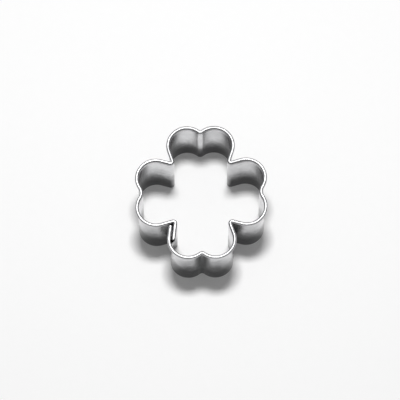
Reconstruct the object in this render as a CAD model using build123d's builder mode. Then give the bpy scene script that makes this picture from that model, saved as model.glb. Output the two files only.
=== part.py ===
from build123d import *
from collections import namedtuple
from math import atan2, cos, degrees, radians, sin, sqrt, tan
import os

# A cookie cutter in the outline of a four-leaf clover. One thin strip of sheet metal stands on its
# cutting edge, its top edge is rolled outward into a hollow rim, and its two ends lap behind each
# other at one deep corner, where three spot welds hold them. Millimetres, +Z up, the cutting edge at
# Z = 0, the long way along Y.

# The strip
cutter_height = 25.0
sheet_thickness = 0.3
rim_diameter = 1.35
rim_lip_gap = 0.12

# The clover, measured on the middle of the wall: its four deep corners from the centre, before they
# are rounded, the straight sides that run out from there, the round lobes, the notches between them,
# and the small radius that the rim keeps in the hollow of each deep corner
deep_corner_across = 9.3
deep_corner_along = 10.4
long_petal_side = 6.34
short_petal_side = 5.87
lobe_radius = 6.57
long_notch_radius = 1.6
short_notch_radius = 4.3
corner_clearance = 0.1

# How far each petal's sides lean apart, in degrees. The side with the lap stands straighter.
long_petal_lean = 18.25
short_petal_lean = 16.1
lap_lean = 7.0

# The lap joint: the gap that the outer end leaves to the next petal's rim, the gap between the two
# rims, how the inner end's wall bends over to the outer one, and how far it follows the lobe round,
# in degrees
lap_mouth = 0.46
rim_to_rim_gap = 0.35
lap_ramp_length = 2.2
lap_sheet_gap = 0.05
bend_below_rim = 0.35
bend_height = 4.0
lap_wrap = 7.0

# The spot welds
weld_diameter = 2.0
weld_dimple = 0.06
weld_edge_distance = 3.65
weld_names = ["lower_spot_weld", "middle_spot_weld", "upper_spot_weld"]

# Worked out from the sizes above
rim_radius = rim_diameter / 2
half_sheet = sheet_thickness / 2
rim_middle = rim_radius - half_sheet
rim_reach = rim_diameter - half_sheet
rim_height = cutter_height - rim_radius
corner_radius = rim_reach + corner_clearance
lap_pitch = rim_diameter + rim_to_rim_gap
lap_shift = lap_pitch - sheet_thickness - lap_sheet_gap
bend_top = cutter_height - rim_diameter - bend_below_rim
bend_foot = bend_top - bend_height

# The bent wall of the lap in two heights: foot, head, and how far the head is set outward
bent_wall = [(0, bend_foot, lap_shift), (bend_foot, bend_top, 0)]

# The four petals, anticlockwise from the south one
Petal = namedtuple("Petal", "heading corner_out corner_aside side_length lean notch_radius")
long_petal = (deep_corner_along, deep_corner_across, long_petal_side, long_petal_lean, long_notch_radius)
short_petal = (deep_corner_across, deep_corner_along, short_petal_side, short_petal_lean, short_notch_radius)
south_petal = Petal(270, *long_petal)
east_petal = Petal(0, *short_petal)
north_petal = Petal(90, *long_petal)
west_petal = Petal(180, *short_petal)
petals = [south_petal, east_petal, north_petal, west_petal]


def heading_vector(angle):
    """A level vector of length one at this angle from +X, in degrees."""
    return Vector(cos(radians(angle)), sin(radians(angle)), 0)


def deep_corner(petal, side):
    """The deep corner where a petal begins (side -1) or ends (side 1), going anticlockwise."""
    out = heading_vector(petal.heading) * petal.corner_out
    return out + heading_vector(petal.heading + 90) * petal.corner_aside * side


def inward(petal, side):
    """The direction of a petal's straight side, from its lobe towards the deep corner."""
    return heading_vector(petal.heading + 180 + side * petal.lean)


def lobe_touch(petal, side):
    """The point where a petal's straight side meets its lobe."""
    return deep_corner(petal, side) - inward(petal, side) * petal.side_length


def lobe_centre(petal, side):
    """The centre of a petal's first lobe (side -1) or second lobe (side 1)."""
    touch_heading = petal.heading + side * (90 + petal.lean)
    return lobe_touch(petal, side) - heading_vector(touch_heading) * lobe_radius


def rounding(corner, along_a, along_b):
    """Both ends of the arc that rounds the corner where two straight sides meet."""
    reach_back = corner_radius / tan(radians(along_a.get_angle(along_b) / 2))
    return corner - along_a * reach_back, corner - along_b * reach_back


def crossing(point_a, along_a, point_b, along_b):
    """The point where two level lines cross."""
    step = point_b - point_a
    turn = along_a.X * along_b.Y - along_a.Y * along_b.X
    return point_a + along_a * (step.X * along_b.Y - step.Y * along_b.X) / turn


# The lap lies between the west petal and the south petal. The strip's outer end starts there, a rim's
# width clear of the west petal. The inner end comes round the same corner further in, by one rim and
# the gap between two.
west_inward = inward(west_petal, 1)
lap_inward = heading_vector(south_petal.heading + 180 - lap_lean)
lap_side = Vector(-lap_inward.Y, lap_inward.X, 0)
corner_angle = radians(lap_inward.get_angle(west_inward))
lap_lobe = lobe_centre(south_petal, -1)
outer_touch = lap_lobe + lap_side * lobe_radius
outer_corner = crossing(lobe_touch(west_petal, 1), west_inward, outer_touch, lap_inward)
mouth_reach = (rim_reach * (1 + cos(corner_angle)) + lap_mouth) / sin(corner_angle)
strip_start = outer_corner - lap_inward * mouth_reach
inner_touch = outer_touch - lap_side * lap_pitch
lap_corner = outer_corner + west_inward * lap_pitch / sin(corner_angle)
lap_corner_start, lap_corner_end = rounding(lap_corner, west_inward, lap_inward)
lap_plane = Plane(origin=lap_corner_end, x_dir=lap_side, z_dir=lap_inward)

# The welds stand in the middle of the two sheets where they lie on each other, spaced up the flat
# part of the wall
lap_stack = 2 * sheet_thickness + lap_sheet_gap
weld_travel = (lap_ramp_length + (inner_touch - lap_corner_end).length) / 2
weld_offset = lap_pitch + half_sheet - lap_stack / 2
weld_middle = lap_corner_end - lap_inward * weld_travel + lap_side * weld_offset
weld_plane = Plane(origin=weld_middle, x_dir=-lap_inward, z_dir=lap_side)
weld_pitch = (bend_foot - 2 * weld_edge_distance) / (len(weld_names) - 1)
weld_places = [(0, weld_edge_distance + number * weld_pitch) for number in range(len(weld_names))]
dish_radius = (weld_diameter**2 / 4 + weld_dimple**2) / (2 * weld_dimple)


def draw_petal(petal, first_lean):
    """The two round lobes of a petal and the notch between them. The first side may lean differently."""
    lobe_out = lobe_centre(petal, 1).dot(heading_vector(petal.heading))
    lobe_aside = lobe_centre(petal, 1).dot(heading_vector(petal.heading + 90))
    notch_step = sqrt((lobe_radius + petal.notch_radius) ** 2 - lobe_aside**2)
    notch_angle = degrees(atan2(lobe_aside, notch_step))
    notch_centre = heading_vector(petal.heading) * (lobe_out + notch_step)
    first_start = petal.heading - 90 - first_lean
    notch_start = petal.heading + 180 + notch_angle
    second_start = petal.heading - notch_angle
    CenterArc(lobe_centre(petal, -1), lobe_radius, first_start, 90 + first_lean + notch_angle)
    CenterArc(notch_centre, petal.notch_radius, notch_start, -2 * notch_angle)
    CenterArc(lobe_centre(petal, 1), lobe_radius, second_start, 90 + petal.lean + notch_angle)


def strip_section(foot):
    """The strip cut across, from this height up: the wall and the rim rolled outward from it."""
    rim_bore = rim_radius - sheet_thickness
    lip_reach = rim_bore - rim_lip_gap
    lip_angle = 90 + degrees(atan2(lip_reach, sqrt(rim_radius**2 - lip_reach**2)))
    lip = heading_vector(-lip_angle)
    rim_centre = Vector(rim_middle, rim_height)
    inner_side = [(-half_sheet, rim_height), (-half_sheet, foot)]
    outer_side = [(half_sheet, foot), (half_sheet, rim_height)]
    with BuildLine() as outline:
        Polyline(*inner_side, *outer_side)
        CenterArc(rim_centre, rim_bore, 180, -180 - lip_angle)
        Line(rim_centre + lip * rim_bore, rim_centre + lip * rim_radius)
        CenterArc(rim_centre, rim_radius, -lip_angle, 180 + lip_angle)
    make_face(outline.edges())


def wall_section(foot, head, foot_shift, head_shift):
    """The wall cut across between two heights, each end set outward by its own shift."""
    inner_side = [(head_shift - half_sheet, head), (foot_shift - half_sheet, foot)]
    outer_side = [(foot_shift + half_sheet, foot), (head_shift + half_sheet, head)]
    with BuildLine() as outline:
        Polyline(*inner_side, *outer_side, close=True)
    make_face(outline.edges())


with BuildPart() as cutter_band:
    # The strip's way round the clover, from its outer end to the end of the lap corner
    with BuildLine() as route:
        Line(strip_start, outer_touch)
        draw_petal(south_petal, lap_lean)
        for petal, next_petal in zip(petals, petals[1:]):
            leaving = inward(petal, 1)
            arriving = inward(next_petal, -1)
            corner_start, corner_end = rounding(deep_corner(petal, 1), leaving, arriving)
            Line(lobe_touch(petal, 1), corner_start)
            TangentArc(corner_start, corner_end, tangent=leaving)
            Line(corner_end, lobe_touch(next_petal, -1))
            draw_petal(next_petal, next_petal.lean)
        Line(lobe_touch(west_petal, 1), lap_corner_start)
        TangentArc(lap_corner_start, lap_corner_end, tangent=west_inward)
    with BuildSketch(Plane(origin=strip_start, x_dir=lap_side, z_dir=lap_inward)):
        strip_section(0)
    sweep(path=route.wire())

    # The inner end runs on beside the outer one. Below the rim its wall first ramps outward, until it
    # lies on the outer end's wall, and from there it follows that wall to the start of the lobe.
    with BuildSketch(lap_plane):
        strip_section(bend_top)
    extrude(amount=-lap_ramp_length)
    for foot, head, head_shift in bent_wall:
        with BuildSketch(lap_plane.offset(-lap_ramp_length)):
            wall_section(foot, head, lap_shift, head_shift)
        with BuildSketch(lap_plane):
            wall_section(foot, head, 0, 0)
        loft(ruled=True)
    with BuildLine() as lap_route:
        Line(lap_corner_end - lap_inward * lap_ramp_length, inner_touch)
        CenterArc(lap_lobe, lobe_radius - lap_pitch, south_petal.heading - 90 - lap_lean, lap_wrap)
    with BuildSketch(lap_plane.offset(-lap_ramp_length)):
        strip_section(bend_top)
        for foot, head, head_shift in bent_wall:
            wall_section(foot, head, lap_shift, head_shift)
    sweep(path=lap_route.wire())

    # The holes that the weld metal fills, through both sheets
    with BuildSketch(weld_plane):
        with Locations(*weld_places):
            Circle(weld_diameter / 2)
    extrude(amount=lap_stack, both=True, mode=Mode.SUBTRACT)
cutter_band.part.label = "cutter_band"

# Each weld fills its hole, and its two ends are dished by the electrodes
welds = []
for weld_name, weld_place in zip(weld_names, weld_places):
    with BuildPart() as spot_weld:
        with BuildSketch(weld_plane):
            with Locations(weld_place):
                Circle(weld_diameter / 2)
        extrude(amount=lap_stack / 2, both=True)
        with Locations(weld_plane):
            for side in (-1, 1):
                with Locations((*weld_place, side * (dish_radius + lap_stack / 2 - weld_dimple))):
                    Sphere(dish_radius, mode=Mode.SUBTRACT)
    spot_weld.part.label = weld_name
    welds.append(spot_weld.part)

os.makedirs("parts", exist_ok=True)
for piece in [cutter_band.part, *welds]:
    export_step(piece, f"parts/{piece.label}.step")
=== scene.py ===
# %% [markdown]
# # A four-leaf clover cookie cutter
# The real thing is one strip of bright thin sheet, bent round the outline of a clover. Its top edge is
# rolled outward into a hollow rim, so that it doesn't cut the hand, and its two ends lap at one deep
# corner, where three spot welds hold them. The imported CAD model is the frame that everything here is
# built on. This cell loads it, moves its meshes into world space and drops everything else.

# %% Load the frame
from collections import namedtuple
from math import atan2, cos, degrees, exp, pi, radians, sin, sqrt, tan

import bpy
from mathutils import Matrix, Vector


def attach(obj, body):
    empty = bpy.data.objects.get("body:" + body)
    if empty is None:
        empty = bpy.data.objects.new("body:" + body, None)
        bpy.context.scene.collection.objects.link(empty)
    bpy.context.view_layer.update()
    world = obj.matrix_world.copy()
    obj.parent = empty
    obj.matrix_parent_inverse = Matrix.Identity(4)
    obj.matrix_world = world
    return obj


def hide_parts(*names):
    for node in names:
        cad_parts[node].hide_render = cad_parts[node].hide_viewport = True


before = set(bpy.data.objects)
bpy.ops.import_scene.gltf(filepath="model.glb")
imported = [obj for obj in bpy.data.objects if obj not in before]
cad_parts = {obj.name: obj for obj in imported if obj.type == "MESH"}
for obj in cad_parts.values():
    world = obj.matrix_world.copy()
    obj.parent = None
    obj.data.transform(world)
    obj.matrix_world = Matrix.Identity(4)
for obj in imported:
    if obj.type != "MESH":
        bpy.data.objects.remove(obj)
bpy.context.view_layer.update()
MM = 0.001

# %% [markdown]
# ## The sizes
# These are the cutter's own sizes, the ones that the CAD model is made from, in metres. The outline is
# measured on the middle of the sheet. The way round starts from the four deep corners, because those
# are what a maker bends first: straight sides run out from each one, and round lobes close the petals.

# %% The cutter's sizes
cutter_height = 25.0 * MM
sheet_thickness = 0.3 * MM
rim_diameter = 1.35 * MM
rim_lip_gap = 0.12 * MM

deep_corner_across = 9.3 * MM
deep_corner_along = 10.4 * MM
long_petal_side = 6.34 * MM
short_petal_side = 5.87 * MM
lobe_radius = 6.57 * MM
long_notch_radius = 1.6 * MM
short_notch_radius = 4.3 * MM
corner_clearance = 0.1 * MM
long_petal_lean = 18.25
short_petal_lean = 16.1
lap_lean = 7.0

lap_mouth = 0.46 * MM
rim_to_rim_gap = 0.35 * MM
lap_ramp_length = 2.2 * MM
lap_sheet_gap = 0.05 * MM
bend_below_rim = 0.35 * MM
bend_height = 4.0 * MM
lap_wrap = 7.0

weld_diameter = 2.0 * MM
weld_edge_distance = 3.65 * MM
weld_count = 3

rim_radius = rim_diameter / 2
half_sheet = sheet_thickness / 2
rim_middle = rim_radius - half_sheet
rim_reach = rim_diameter - half_sheet
rim_height = cutter_height - rim_radius
corner_radius = rim_reach + corner_clearance
lap_pitch = rim_diameter + rim_to_rim_gap
lap_shift = lap_pitch - sheet_thickness - lap_sheet_gap
bend_top = cutter_height - rim_diameter - bend_below_rim
bend_foot = bend_top - bend_height

# %% [markdown]
# ## The way round the clover
# The strip is bent along one line that starts at its outer end, goes once round the clover, turns the
# last deep corner a little further in, and ends beside where it began. Here that line is worked out as
# points about a fifth of a millimetre apart, on straight runs and arcs alike, because later steps measure
# along it. First come the petals, two long ones and two short ones, each drawn from its deep corners.

# %% Where the parts of a petal lie
Petal = namedtuple("Petal", "heading corner_out corner_aside side_length lean notch_radius")
long_petal = (deep_corner_along, deep_corner_across, long_petal_side, long_petal_lean, long_notch_radius)
short_petal = (deep_corner_across, deep_corner_along, short_petal_side, short_petal_lean, short_notch_radius)
south_petal = Petal(270, *long_petal)
east_petal = Petal(0, *short_petal)
north_petal = Petal(90, *long_petal)
west_petal = Petal(180, *short_petal)
petals = [south_petal, east_petal, north_petal, west_petal]


def heading_vector(angle):
    """A level vector of length one at this angle from +X, in degrees."""
    return Vector((cos(radians(angle)), sin(radians(angle)), 0))


def deep_corner(petal, side):
    """The deep corner where a petal begins (side -1) or ends (side 1), going anticlockwise."""
    out = heading_vector(petal.heading) * petal.corner_out
    return out + heading_vector(petal.heading + 90) * petal.corner_aside * side


def inward(petal, side):
    """The direction of a petal's straight side, from its lobe towards the deep corner."""
    return heading_vector(petal.heading + 180 + side * petal.lean)


def lobe_touch(petal, side):
    """The point where a petal's straight side meets its lobe."""
    return deep_corner(petal, side) - inward(petal, side) * petal.side_length


def lobe_centre(petal, side):
    """The centre of a petal's first lobe (side -1) or second lobe (side 1)."""
    touch_heading = petal.heading + side * (90 + petal.lean)
    return lobe_touch(petal, side) - heading_vector(touch_heading) * lobe_radius


# %% [markdown]
# Each kind of piece then gives its own points: the arcs that round the deep corners, a petal's two lobes
# with the notch between them, and the straight runs.

# %% Points along each kind of piece
point_step = 0.22 * MM
least_arc_steps = 6
least_run_steps = 2


def arc_points(centre, radius, start, sweep):
    """Points along an arc, from its start angle through its sweep, in degrees."""
    count = max(least_arc_steps, round(radians(abs(sweep)) * radius / point_step))
    return [centre + heading_vector(start + sweep * i / count) * radius for i in range(count + 1)]


def corner_points(corner, along_a, along_b):
    """Points along the arc that rounds a deep corner between two straight sides."""
    half_angle = along_a.angle(along_b) / 2
    away = (along_a + along_b).normalized()
    centre = corner - away * corner_radius / sin(half_angle)
    first = corner - along_a * corner_radius / tan(half_angle) - centre
    last = corner - along_b * corner_radius / tan(half_angle) - centre
    start = degrees(atan2(first.y, first.x))
    sweep = (degrees(atan2(last.y, last.x)) - start + 180) % 360 - 180
    return arc_points(centre, corner_radius, start, sweep)


def petal_points(petal, first_lean):
    """Points round a petal's two lobes and the notch between them. The first side may lean differently."""
    lobe_out = lobe_centre(petal, 1).dot(heading_vector(petal.heading))
    lobe_aside = lobe_centre(petal, 1).dot(heading_vector(petal.heading + 90))
    notch_step = sqrt((lobe_radius + petal.notch_radius) ** 2 - lobe_aside**2)
    notch_angle = degrees(atan2(lobe_aside, notch_step))
    notch_centre = heading_vector(petal.heading) * (lobe_out + notch_step)
    first_start = petal.heading - 90 - first_lean
    notch_start = petal.heading + 180 + notch_angle
    second_start = petal.heading - notch_angle
    first = arc_points(lobe_centre(petal, -1), lobe_radius, first_start, 90 + first_lean + notch_angle)
    notch = arc_points(notch_centre, petal.notch_radius, notch_start, -2 * notch_angle)
    second = arc_points(lobe_centre(petal, 1), lobe_radius, second_start, 90 + petal.lean + notch_angle)
    return first + notch + second


def run_points(start, end):
    """Points along a straight run."""
    count = max(least_run_steps, round((end - start).length / point_step))
    return [start.lerp(end, i / count) for i in range(count + 1)]


# %% [markdown]
# The lap is at the deep corner between the west petal and the south one. The strip's outer end starts
# there, a rim's width clear of the west petal. The inner end comes round the same corner further in, by
# one rim and the gap between two.

# %% The two ends at the lap corner


def crossing(point_a, along_a, point_b, along_b):
    """The point where two level lines cross."""
    step = point_b - point_a
    turn = along_a.x * along_b.y - along_a.y * along_b.x
    return point_a + along_a * (step.x * along_b.y - step.y * along_b.x) / turn


west_inward = inward(west_petal, 1)
lap_inward = heading_vector(south_petal.heading + 180 - lap_lean)
lap_side = Vector((-lap_inward.y, lap_inward.x, 0))
corner_angle = lap_inward.angle(west_inward)
lap_lobe = lobe_centre(south_petal, -1)
outer_touch = lap_lobe + lap_side * lobe_radius
outer_corner = crossing(lobe_touch(west_petal, 1), west_inward, outer_touch, lap_inward)
mouth_reach = (rim_reach * (1 + cos(corner_angle)) + lap_mouth) / sin(corner_angle)
strip_start = outer_corner - lap_inward * mouth_reach
inner_touch = outer_touch - lap_side * lap_pitch
lap_corner = outer_corner + west_inward * lap_pitch / sin(corner_angle)
lap_turn = corner_points(lap_corner, west_inward, lap_inward)
print("outer end at", [round(v / MM, 2) for v in strip_start], "mm")

# %% [markdown]
# Now the line goes round: the south petal from the outer end, then the other three with a deep corner
# before each, then the lap corner and the inner end.

# %% Walk round the clover
route = run_points(strip_start, outer_touch) + petal_points(south_petal, lap_lean)
for petal, next_petal in zip(petals, petals[1:]):
    corner = corner_points(deep_corner(petal, 1), inward(petal, 1), inward(next_petal, -1))
    route += run_points(lobe_touch(petal, 1), corner[0]) + corner
    route += run_points(corner[-1], lobe_touch(next_petal, -1)) + petal_points(next_petal, next_petal.lean)
route += run_points(lobe_touch(west_petal, 1), lap_turn[0]) + lap_turn
lap_begins = len(route)
route += run_points(lap_turn[-1], inner_touch)
lap_heading = south_petal.heading - 90 - lap_lean
route += arc_points(lap_lobe, lobe_radius - lap_pitch, lap_heading, lap_wrap)


def without_repeats(points, reach=1e-7):
    """The same points with none twice in a row."""
    kept = [points[0]]
    for point in points[1:]:
        if (point - kept[-1]).length > reach:
            kept.append(point)
    return kept


def path_length(points):
    """The length of the line through these points."""
    return sum((b - a).length for a, b in zip(points, points[1:]))


# %% [markdown]
# The finish paints shade into tight hollows on the outside, so it has to know how tightly the strip bends
# at each point of the line. The turn from one short step to the next is blurred along the line, so that the
# painted shade spreads a little way out of a hollow.

# %% Measure the line and its bends
hollow_shade_spread = 1.6 * MM


def bends(points, blur):
    """How tightly the line bends left at each point, per millimetre, blurred along the line."""
    places, turns, run = [], [], 0.0
    for before, here, after in zip(points, points[1:], points[2:]):
        run += (here - before).length
        arriving, leaving = (here - before).normalized(), (after - here).normalized()
        places.append(run)
        turns.append(arriving.cross(leaving).z)
    blurred = []
    for place in [0.0] + places + [run + (points[-1] - points[-2]).length]:
        weights = [exp(-(((other - place) / blur) ** 2) / 2) for other in places]
        turned = sum(weight * turn for weight, turn in zip(weights, turns))
        blurred.append(turned / (blur / MM * sqrt(2 * pi)))
    return blurred


ramp_start = path_length(route[:lap_begins])
route = without_repeats(route)
route_bends = bends(route, hollow_shade_spread)
strip_length = path_length(route)
print(f"strip {strip_length / MM:.1f} mm long, {len(route)} points, lap from {ramp_start / MM:.1f} mm")
print(f"bends from {min(route_bends):.2f} to {max(route_bends):.2f} per mm")

# %% [markdown]
# ## Helpers for node trees
# Geometry Nodes and materials are both trees of nodes with links between them. One small function adds
# a node, changes its settings, and fills each input with either a value or a link. A second one writes
# a step of arithmetic. With these two, a tree reads from top to bottom like a recipe.

# %% Small helpers for node trees


def add_node(tree, kind, inputs=None, **settings):
    """A new node with these settings. Each input gets a plain value, or a link from another node's output."""
    made = tree.nodes.new(kind)
    for name, value in settings.items():
        setattr(made, name, value)
    for key, value in (inputs or {}).items():
        if isinstance(value, bpy.types.NodeSocket):
            tree.links.new(value, made.inputs[key])
        else:
            made.inputs[key].default_value = value
    return made


def calc(tree, operation, first, second=0.0):
    """One step of arithmetic in a tree, as an output that can be linked on."""
    return add_node(tree, "ShaderNodeMath", {0: first, 1: second}, operation=operation).outputs[0]


# %% [markdown]
# A tree that grows a piece starts with named inputs, keeps values on the geometry under names, and ends
# by making the geometry real and giving it its finish. It is run as a modifier, and what comes out of it
# is copied into a plain mesh.

# %% Helpers that start, end and run a growing tree


def new_tree(name, inputs):
    """An empty Geometry Nodes tree with named inputs, and its group input node."""
    tree = bpy.data.node_groups.new(name, "GeometryNodeTree")
    tree.interface.new_socket("Geometry", in_out="INPUT", socket_type="NodeSocketGeometry")
    tree.interface.new_socket("Geometry", in_out="OUTPUT", socket_type="NodeSocketGeometry")
    for label, kind in inputs.items():
        tree.interface.new_socket(label, in_out="INPUT", socket_type="NodeSocket" + kind)
    return tree, tree.nodes.new("NodeGroupInput")


def store(tree, geometry, name, value, kind="FLOAT", domain="POINT"):
    """Keeps a value on the geometry under a name."""
    inputs = {"Geometry": geometry.outputs[0], "Name": name, "Value": value}
    return add_node(tree, "GeometryNodeStoreNamedAttribute", inputs, data_type=kind, domain=domain)


def read(tree, name, kind="FLOAT"):
    """The value that was kept on the geometry under this name."""
    return add_node(tree, "GeometryNodeInputNamedAttribute", {"Name": name}, data_type=kind).outputs[0]


def finish_tree(tree, start, geometry):
    """Ends a tree: real geometry with its finish, then the group's output."""
    real = add_node(tree, "GeometryNodeRealizeInstances", {"Geometry": geometry})
    painted = add_node(
        tree,
        "GeometryNodeSetMaterial",
        {"Geometry": real.outputs[0], "Material": start.outputs["Finish"]},
    )
    add_node(tree, "NodeGroupOutput", {"Geometry": painted.outputs[0]})


def grow(name, seed_mesh, tree, values):
    """Runs a tree on a mesh, and returns the plain mesh object that comes out of it."""
    live = bpy.data.objects.new(name + "_live", seed_mesh)
    bpy.context.scene.collection.objects.link(live)
    modifier = live.modifiers.new("grow", "NODES")
    modifier.node_group = tree
    for item in tree.interface.items_tree:
        if item.in_out == "INPUT" and item.name in values:
            modifier[item.identifier] = values[item.name]
    depsgraph = bpy.context.evaluated_depsgraph_get()
    mesh = bpy.data.meshes.new_from_object(
        live.evaluated_get(depsgraph), preserve_all_data_layers=True, depsgraph=depsgraph
    )
    bpy.data.objects.remove(live)
    mesh.name = name
    piece = bpy.data.objects.new(name, mesh)
    bpy.context.scene.collection.objects.link(piece)
    triangles = sum(len(p.vertices) - 2 for p in mesh.polygons)
    print(f"{name}: {len(mesh.vertices)} points, {triangles} triangles")
    return piece


# %% [markdown]
# ## The bright sheet
# Strip for cutters is cold rolled and bright. It isn't a mirror: rolling leaves very fine lines along the
# strip, hands and dough leave it cloudy in patches, and bending leaves it a little wavy. The lower half
# of the wall is painted a cloudy dark grey: this is painted shade, for the floor's shadow that the wall
# mirrors near its foot. Tight hollows on the outside get the same painted shade right up to the rim, for
# the shade that gathers in them, and only the cutting edge itself stays bright from wear. The strip will
# carry two maps: "strip" gives metres along it and metres up it, and "hollow" says how tightly the outside
# closes in on itself, per millimetre.

# %% Helpers for finishes


def new_finish(name):
    """An empty material with its tree, a Principled shader and the output that the shader goes to."""
    finish = bpy.data.materials.new(name)
    finish.use_nodes = True
    tree = finish.node_tree
    tree.nodes.clear()
    shader = tree.nodes.new("ShaderNodeBsdfPrincipled")
    surface = add_node(tree, "ShaderNodeOutputMaterial", {"Surface": shader.outputs[0]})
    return finish, tree, shader, surface


def remap(tree, value, low, high, to_low, to_high):
    """A value stretched from one span to another, held inside the new one."""
    made = add_node(
        tree,
        "ShaderNodeMapRange",
        {0: value, 1: low, 2: high, 3: to_low, 4: to_high},
        interpolation_type="SMOOTHSTEP",
    )
    return made.outputs[0]


def grey_mix(tree, share, first, second):
    """A colour between two colours."""
    made = add_node(tree, "ShaderNodeMix", {0: share, 6: first, 7: second}, data_type="RGBA")
    return made.outputs[2]


# %% The bright steel's patterns
rolled_grain = (90, 9000, 1)

bright_steel, tree, shader, surface = new_finish("bright_steel")
strip_map = add_node(tree, "ShaderNodeUVMap", uv_map="strip")
places = add_node(tree, "ShaderNodeTexCoord").outputs["Object"]
up = add_node(tree, "ShaderNodeSeparateXYZ", {0: strip_map.outputs[0]}).outputs[1]

line_place = add_node(tree, "ShaderNodeMapping", {0: strip_map.outputs[0], 3: rolled_grain})
rolling_lines = add_node(
    tree, "ShaderNodeTexNoise", {0: line_place.outputs[0], "Scale": 1, "Detail": 4, "Roughness": 0.6}
).outputs[0]
clouds = add_node(tree, "ShaderNodeTexNoise", {0: places, "Scale": 140, "Detail": 3}).outputs[0]
smudges = add_node(
    tree, "ShaderNodeTexNoise", {0: places, "Scale": 420, "Detail": 5, "Distortion": 1.4}
).outputs[0]

tone = calc(tree, "ADD", calc(tree, "MULTIPLY", clouds, 0.7), calc(tree, "MULTIPLY", smudges, 0.3))
tone = remap(tree, tone, 0.35, 0.65, 0, 1)
print("bright_steel patterns:", len(tree.nodes), "nodes")

# %% The bright steel's colour
bright_greys = (0.52, 0.52, 0.53, 1), (0.66, 0.66, 0.67, 1)
# The dark grey is painted shade: it stands in for the shadowed floor that the lower wall and the hollows
# mirror.
painted_shade_grey = (0.10, 0.10, 0.103, 1)
worn_grey = (0.7, 0.7, 0.71, 1)
painted_shade_up_to, bright_from = 6.5 * MM, 16.5 * MM
cloud_reach = 2.6 * MM
worn_edge = 0.5 * MM
rim_blend = 1.8 * MM
# How tightly the outer face must close in before it gets the painted shade of a hollow.
unshaded_bend, shaded_bend = -0.1, 0.15

sheet_colour = grey_mix(tree, tone, *bright_greys)
below_rim = remap(tree, up, rim_height - rim_blend, rim_height, 1, 0)
# Painted shade: the wall is darker towards its foot, fading out by two thirds of its height with a cloudy
# edge.
cloudy_height = calc(tree, "ADD", up, calc(tree, "MULTIPLY", tone, cloud_reach))
painted_shade = remap(tree, cloudy_height, painted_shade_up_to, bright_from, 0.95, 0)
# Painted shade in tight hollows on the outer face, below the rim, where shade gathers.
hollow_map = add_node(tree, "ShaderNodeUVMap", uv_map="hollow")
hollow = add_node(tree, "ShaderNodeSeparateXYZ", {0: hollow_map.outputs[0]}).outputs[0]
hollow_shade = calc(tree, "MULTIPLY", remap(tree, hollow, unshaded_bend, shaded_bend, 0, 0.8), below_rim)
painted_shade = calc(tree, "MAXIMUM", painted_shade, hollow_shade)
sheet_colour = grey_mix(tree, painted_shade, sheet_colour, painted_shade_grey)
edge_wear = remap(tree, up, 0, worn_edge, 0.7, 0)
sheet_colour = grey_mix(tree, edge_wear, sheet_colour, worn_grey)
tree.links.new(sheet_colour, shader.inputs["Base Color"])
shader.inputs["Metallic"].default_value = 1.0
print("bright_steel colour:", len(tree.nodes), "nodes")

# %% [markdown]
# Much of a metal's look is in how rough it is and which way its surface tips. The rolled rim is more
# satin than the wall, because the roller rubbed it.

# %% The bright steel's gloss
wave_depth = 0.12 * MM
line_depth = 0.004 * MM

roughness = remap(tree, tone, 0, 1, 0.2, 0.14)
rim_satin = remap(tree, up, rim_height - rim_blend, rim_height, 0, 0.28)
roughness = calc(tree, "ADD", roughness, rim_satin)
roughness = calc(tree, "ADD", roughness, remap(tree, rolling_lines, 0.3, 0.7, -0.03, 0.05))
tree.links.new(roughness, shader.inputs["Roughness"])

waves = add_node(tree, "ShaderNodeTexNoise", {0: places, "Scale": 200, "Detail": 2}).outputs[0]
wavy = add_node(tree, "ShaderNodeBump", {"Strength": 1.0, "Distance": wave_depth, "Height": waves})
lined = add_node(
    tree,
    "ShaderNodeBump",
    {"Strength": 0.35, "Distance": line_depth, "Height": rolling_lines, "Normal": wavy.outputs[0]},
)
tree.links.new(lined.outputs[0], shader.inputs["Normal"])
print("bright_steel:", len(tree.nodes), "nodes")

# %% [markdown]
# ## The weld metal
# A spot weld is made by squeezing two sheets between copper electrodes and passing a current. What shows
# is a shallow dish, matt and a little darker, with a straw tint from the heat. Each weld is a CAD node
# with its dish already in it, so it only needs a finish.

# %% The weld finish
burnt_grey, straw_grey = (0.40, 0.39, 0.38, 1), (0.62, 0.59, 0.55, 1)
pit_depth = 0.02 * MM

weld_metal, tree, shader, surface = new_finish("weld_metal")
places = add_node(tree, "ShaderNodeTexCoord").outputs["Object"]
burn = add_node(tree, "ShaderNodeTexNoise", {0: places, "Scale": 1800, "Detail": 5}).outputs[0]
stain = add_node(tree, "ShaderNodeTexNoise", {0: places, "Scale": 600, "Detail": 2}).outputs[0]
weld_colour = grey_mix(tree, remap(tree, stain, 0.35, 0.65, 0, 1), burnt_grey, straw_grey)
tree.links.new(weld_colour, shader.inputs["Base Color"])
tree.links.new(remap(tree, burn, 0.3, 0.7, 0.36, 0.58), shader.inputs["Roughness"])
shader.inputs["Metallic"].default_value = 1.0
pitted = add_node(tree, "ShaderNodeBump", {"Strength": 0.5, "Distance": pit_depth, "Height": burn})
tree.links.new(pitted.outputs[0], shader.inputs["Normal"])
print("weld_metal:", len(tree.nodes), "nodes")

# %% [markdown]
# ## The band
# The strip is the same all the way along: a wall and a rolled rim. So it is grown by Geometry Nodes from
# two things only, the way round the clover and the strip's section. The tree takes the sizes as named
# inputs. First the way round becomes a curve that remembers how far along it is and which way is outward.

# %% The tree, its inputs and the way round
band_tree, start = new_tree(
    "Cutter Band",
    {
        "Rim Height": "Float",
        "Sheet Thickness": "Float",
        "Roll Radius": "Float",
        "Roll Angle": "Float",
        "Wall Rows": "Int",
        "Roll Rows": "Int",
        "Lap Shift": "Float",
        "Ramp Start": "Float",
        "Ramp Length": "Float",
        "Bend Foot": "Float",
        "Bend Height": "Float",
        "Weld Radius": "Float",
        "Weld Place": "Vector",
        "Weld Turn": "Vector",
        "Weld Spacing": "Vector",
        "Weld Count": "Int",
        "Finish": "Material",
    },
)
given = start.outputs
tree = band_tree

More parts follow.
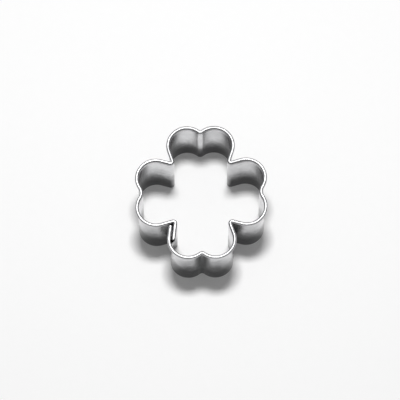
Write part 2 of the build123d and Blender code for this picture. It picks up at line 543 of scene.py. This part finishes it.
way = add_node(tree, "GeometryNodeMeshToCurve", {"Mesh": given["Geometry"]})
way = add_node(tree, "GeometryNodeSetCurveNormal", {"Curve": way.outputs[0]}, mode="Z_UP")
way_length = add_node(tree, "GeometryNodeSplineParameter").outputs["Length"]
way = store(tree, way, "along", way_length)
sideways = add_node(tree, "GeometryNodeInputNormal").outputs[0]
way = store(tree, way, "outward", sideways, kind="FLOAT_VECTOR")
print("inputs of the tree:", len(given) - 1)

# %% [markdown]
# The section is drawn point by point: up the wall and round the roll on the inner face of the sheet, then
# back on the outer face, which makes a closed outline with the sheet's thickness. Each point has a row,
# counted up one face and down the other.

# %% The section of the strip
rows = calc(tree, "ADD", calc(tree, "ADD", given["Wall Rows"], given["Roll Rows"]), 1)
all_points = calc(tree, "MULTIPLY", rows, 2)
number = add_node(tree, "GeometryNodeInputIndex").outputs[0]
coming_back = calc(tree, "GREATER_THAN", number, calc(tree, "SUBTRACT", rows, 0.5))
mirrored_number = calc(tree, "SUBTRACT", calc(tree, "SUBTRACT", all_points, 1), number)
row = add_node(tree, "ShaderNodeMix", {0: coming_back, 2: number, 3: mirrored_number}).outputs[0]
face_side = calc(tree, "SUBTRACT", 1, calc(tree, "MULTIPLY", coming_back, 2))

wall_share = calc(tree, "MINIMUM", calc(tree, "DIVIDE", row, given["Wall Rows"]), 1)
roll_row = calc(tree, "MAXIMUM", calc(tree, "SUBTRACT", row, given["Wall Rows"]), 0)
roll_turn = calc(tree, "MULTIPLY", calc(tree, "DIVIDE", roll_row, given["Roll Rows"]), given["Roll Angle"])
turn_cos, turn_sin = calc(tree, "COSINE", roll_turn), calc(tree, "SINE", roll_turn)
face_step = calc(tree, "MULTIPLY", calc(tree, "DIVIDE", given["Sheet Thickness"], 2), face_side)
roll_reach = calc(tree, "ADD", given["Roll Radius"], face_step)
wall_height = calc(tree, "MULTIPLY", wall_share, given["Rim Height"])
out = calc(tree, "SUBTRACT", given["Roll Radius"], calc(tree, "MULTIPLY", roll_reach, turn_cos))
height = calc(tree, "ADD", wall_height, calc(tree, "MULTIPLY", roll_reach, turn_sin))
sheet_way = calc(tree, "ADD", wall_height, calc(tree, "MULTIPLY", roll_turn, given["Roll Radius"]))

section = add_node(tree, "GeometryNodeCurvePrimitiveLine")
section = add_node(tree, "GeometryNodeResampleCurve", {"Curve": section.outputs[0], "Count": all_points})
place = add_node(tree, "ShaderNodeCombineXYZ", {0: out, 1: calc(tree, "MULTIPLY", height, -1)}).outputs[0]
section = store(tree, section, "up", sheet_way)
section = store(tree, section, "outside", coming_back)
section = add_node(tree, "GeometryNodeSetPosition", {"Geometry": section.outputs[0], "Position": place})
section = add_node(tree, "GeometryNodeSetSplineCyclic", {"Geometry": section.outputs[0], "Cyclic": True})
print("tree with its section:", len(tree.nodes), "nodes")

# %% [markdown]
# The section is carried along the way round, and the two maps are laid on the band. Bends to the right
# are hollows on the outer face. The inner face gets -1, far from any hollow.

# %% The band and its two maps
band = add_node(
    tree,
    "GeometryNodeCurveToMesh",
    {"Curve": way.outputs[0], "Profile Curve": section.outputs[0], "Fill Caps": True},
)
along_here, up_here = read(tree, "along"), read(tree, "up")
strip_place = add_node(tree, "ShaderNodeCombineXYZ", {0: along_here, 1: up_here}).outputs[0]
band = store(tree, band, "strip", strip_place, kind="FLOAT2", domain="CORNER")

closing = calc(tree, "MULTIPLY", calc(tree, "SUBTRACT", 1, read(tree, "bend")), read(tree, "outside"))
hollow_here = add_node(tree, "ShaderNodeCombineXYZ", {0: calc(tree, "SUBTRACT", closing, 1)}).outputs[0]
band = store(tree, band, "hollow", hollow_here, kind="FLOAT2", domain="CORNER")
print("tree with its maps:", len(tree.nodes), "nodes")

# %% [markdown]
# Near the inner end the wall is pushed outward below the rim: not at all where the ramp starts, and fully
# past it, so that the two ends lie on each other.

# %% The push at the lap
past_start = calc(tree, "SUBTRACT", along_here, given["Ramp Start"])
past_ramp = calc(tree, "DIVIDE", past_start, given["Ramp Length"])
ramp = remap(tree, past_ramp, 0, 1, 0, 1)
past_bend = calc(tree, "DIVIDE", calc(tree, "SUBTRACT", up_here, given["Bend Foot"]), given["Bend Height"])
below_bend = remap(tree, past_bend, 0, 1, 1, 0)
push = calc(tree, "MULTIPLY", calc(tree, "MULTIPLY", ramp, below_bend), given["Lap Shift"])
outward_here = read(tree, "outward", kind="FLOAT_VECTOR")
offset = add_node(tree, "ShaderNodeVectorMath", {0: outward_here, 3: push}, operation="SCALE").outputs[0]
band = add_node(tree, "GeometryNodeSetPosition", {"Geometry": band.outputs[0], "Offset": offset})
print("tree with its push:", len(tree.nodes), "nodes")

# %% [markdown]
# Last, the welds' holes are cut through both sheets. The exact solver leaves the band closed, with
# nothing standing in the holes.

# %% The welds' holes, and the end of the tree
hole_sides = 64
hole_depth = 1.0 * MM

hole_points = add_node(
    tree,
    "GeometryNodeMeshLine",
    {"Count": given["Weld Count"], "Start Location": given["Weld Place"], "Offset": given["Weld Spacing"]},
)
hole = add_node(
    tree,
    "GeometryNodeMeshCylinder",
    {"Vertices": hole_sides, "Radius": given["Weld Radius"], "Depth": hole_depth},
)
holes = add_node(
    tree,
    "GeometryNodeInstanceOnPoints",
    {"Points": hole_points.outputs[0], "Instance": hole.outputs[0], "Rotation": given["Weld Turn"]},
)
holes = add_node(tree, "GeometryNodeRealizeInstances", {"Geometry": holes.outputs[0]})
band = add_node(
    tree,
    "GeometryNodeMeshBoolean",
    {"Mesh 1": band.outputs[0], "Mesh 2": holes.outputs[0]},
    operation="DIFFERENCE",
    solver="EXACT",
)
finish_tree(tree, start, band.outputs[0])
print("Cutter Band tree:", len(tree.nodes), "nodes")

# %% [markdown]
# The roll goes round the rim until its lip almost touches the wall again. Its angle follows from the gap
# that is left there. The welds stand in the middle of the flat stretch where the two sheets touch.

# %% Where the roll ends and the welds stand
lip_reach = rim_radius - sheet_thickness - rim_lip_gap
roll_angle = radians(270) + atan2(lip_reach, sqrt(rim_radius**2 - lip_reach**2))
lap_stack = 2 * sheet_thickness + lap_sheet_gap
weld_travel = (lap_ramp_length + (inner_touch - lap_turn[-1]).length) / 2
weld_offset = lap_pitch + half_sheet - lap_stack / 2
weld_foot = lap_turn[-1] - lap_inward * weld_travel + lap_side * weld_offset
weld_foot.z = weld_edge_distance
weld_pitch = (bend_foot - 2 * weld_edge_distance) / (weld_count - 1)
weld_turn = lap_side.to_track_quat("Z", "Y").to_euler()
print(f"roll {degrees(roll_angle):.0f} degrees round, welds {weld_pitch / MM:.2f} mm apart")

# %% [markdown]
# The band takes the place of the plain CAD band. Its sharper corners, at the cutting edge, the rim's lip,
# the ends and the holes, stay sharp, and the rest is shaded smooth.

# %% Grow the band
wall_rows, roll_rows = 20, 24
sharp_from = radians(35)

way_mesh = bpy.data.meshes.new("way_round")
way_mesh.from_pydata(route, [(i, i + 1) for i in range(len(route) - 1)], [])
way_mesh.attributes.new("bend", "FLOAT", "POINT").data.foreach_set("value", route_bends)
cutter_band = grow(
    "cutter_band_rolled",
    way_mesh,
    band_tree,
    {
        "Rim Height": rim_height,
        "Sheet Thickness": sheet_thickness,
        "Roll Radius": rim_middle,
        "Roll Angle": roll_angle,
        "Wall Rows": wall_rows,
        "Roll Rows": roll_rows,
        "Lap Shift": lap_shift,
        "Ramp Start": ramp_start,
        "Ramp Length": lap_ramp_length,
        "Bend Foot": bend_foot,
        "Bend Height": bend_height,
        "Weld Radius": weld_diameter / 2,
        "Weld Place": weld_foot,
        "Weld Turn": weld_turn,
        "Weld Spacing": (0, 0, weld_pitch),
        "Weld Count": weld_count,
        "Finish": bright_steel,
    },
)
cutter_band.data.shade_smooth()
cutter_band.data.set_sharp_from_angle(angle=sharp_from)
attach(cutter_band, "root")
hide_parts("cutter_band")

# %% [markdown]
# The welds are the CAD nodes themselves, so each one only changes its finish.

# %% Finish the welds
for name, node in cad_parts.items():
    if name.endswith("spot_weld"):
        node.data.materials.clear()
        node.data.materials.append(weld_metal)
        print("finished", name)

# %% [markdown]
# ## Floor, light and camera
# The photograph shows the cutter on plain white, from high above. The white is the floor's own colour
# under plain light, lifted a little where the camera or a reflection looks at it, so that the cutter's
# soft shadow still shows on it and in the metal.

# %% The floor
floor_reach = 3.0
floor_whites = (0.93, 0.93, 0.93, 1), (0.95, 0.95, 0.95, 1)
floor_lift = 0.13

floor_paint, tree, shader, surface = new_finish("white_floor")
grain = add_node(tree, "ShaderNodeTexCoord").outputs["Object"]
grain = add_node(tree, "ShaderNodeTexNoise", {0: grain, "Scale": 300, "Detail": 3}).outputs[0]
floor_white = grey_mix(tree, grain, *floor_whites)
tree.links.new(floor_white, shader.inputs["Base Color"])
shader.inputs["Roughness"].default_value = 0.9
shader.inputs["Specular IOR Level"].default_value = 0.1

ray = add_node(tree, "ShaderNodeLightPath").outputs
seen = calc(tree, "MAXIMUM", ray["Is Camera Ray"], ray["Is Glossy Ray"])
seen = calc(tree, "MAXIMUM", seen, ray["Is Transmission Ray"])
plain_white = add_node(tree, "ShaderNodeEmission", {"Color": (1, 1, 1, 1), "Strength": 1.0})
lifted = add_node(
    tree,
    "ShaderNodeMixShader",
    {0: calc(tree, "MULTIPLY", seen, floor_lift), 1: shader.outputs[0], 2: plain_white.outputs[0]},
)
tree.links.new(lifted.outputs[0], surface.inputs["Surface"])

floor_corners = [(x * floor_reach, y * floor_reach, 0) for x, y in ((-1, -1), (1, -1), (1, 1), (-1, 1))]
floor_mesh = bpy.data.meshes.new("studio_floor")
floor_mesh.from_pydata(floor_corners, [], [(0, 1, 2, 3)])
floor_mesh.materials.append(floor_paint)
studio_floor = bpy.data.objects.new("studio_floor", floor_mesh)
bpy.context.scene.collection.objects.link(studio_floor)
print("studio_floor:", len(floor_paint.node_tree.nodes), "nodes")

# %% [markdown]
# One soft lamp hangs nearly overhead and a little behind the cutter. Seen from so high, an upright wall
# mirrors only the floor right at its foot, and that strip of floor lies in the wall's own shadow, which
# darkens the lower half of each wall that faces the camera. A weak even light fills in from all round.

# %% The lamp and the fill light
fill_strength = 0.13


def add_softbox(name, place, width, depth, power):
    """A rectangular lamp that faces the cutter."""
    data = bpy.data.lights.new(name, "AREA")
    data.shape = "RECTANGLE"
    data.size, data.size_y = width, depth
    data.energy = power
    lamp = bpy.data.objects.new(name, data)
    lamp.location = place
    lamp.rotation_euler = (-Vector(place)).to_track_quat("-Z", "Y").to_euler()
    bpy.context.scene.collection.objects.link(lamp)
    print(f"{name}: {power} W at {place}")


add_softbox("overhead_softbox", place=(0.0, 0.14, 0.8), width=0.17, depth=0.11, power=6.0)

world = bpy.data.worlds.new("studio")
world.use_nodes = True
world.node_tree.nodes.clear()
plain_light = {"Color": (1, 1, 1, 1), "Strength": fill_strength}
sky = add_node(world.node_tree, "ShaderNodeBackground", plain_light)
add_node(world.node_tree, "ShaderNodeOutputWorld", {"Surface": sky.outputs[0]})
bpy.context.scene.world = world
bpy.context.scene.view_settings.view_transform = "Standard"

# %% [markdown]
# The photograph was taken with a long lens from 70 degrees above the floor. The lines of the far and the
# near petals fit a camera about 1.2 m away, and the cutter stands a little right of the frame's middle
# and a little above it.

# %% The camera
camera_elevation = radians(70)
camera_turn = 0.014
camera_distance = 1.2277
rim_level = Vector((0, 0, cutter_height))
frame_pixels = 400
focal_pixels = 3314.7
aim_right = 0.4485 * MM
aim_up = 3.093 * MM

level = Vector((sin(camera_turn), cos(camera_turn), 0))
looking = level * cos(camera_elevation) - Vector((0, 0, sin(camera_elevation)))
camera_right = Vector((cos(camera_turn), -sin(camera_turn), 0))
camera_up = level * sin(camera_elevation) + Vector((0, 0, cos(camera_elevation)))
camera_place = rim_level - looking * camera_distance - camera_right * aim_right - camera_up * aim_up

camera_data = bpy.data.cameras.new("photo_camera")
camera_data.sensor_width = 36
camera_data.lens = focal_pixels / frame_pixels * camera_data.sensor_width
camera_data.clip_start, camera_data.clip_end = 0.05, 20
camera = bpy.data.objects.new("photo_camera", camera_data)
turned = Matrix((camera_right, camera_up, -looking)).transposed()
camera.matrix_world = Matrix.Translation(camera_place) @ turned.to_4x4()
bpy.context.scene.collection.objects.link(camera)
bpy.context.scene.camera = camera
print(f"camera: {camera_data.lens:.1f} mm lens at {[round(v, 4) for v in camera_place]}")
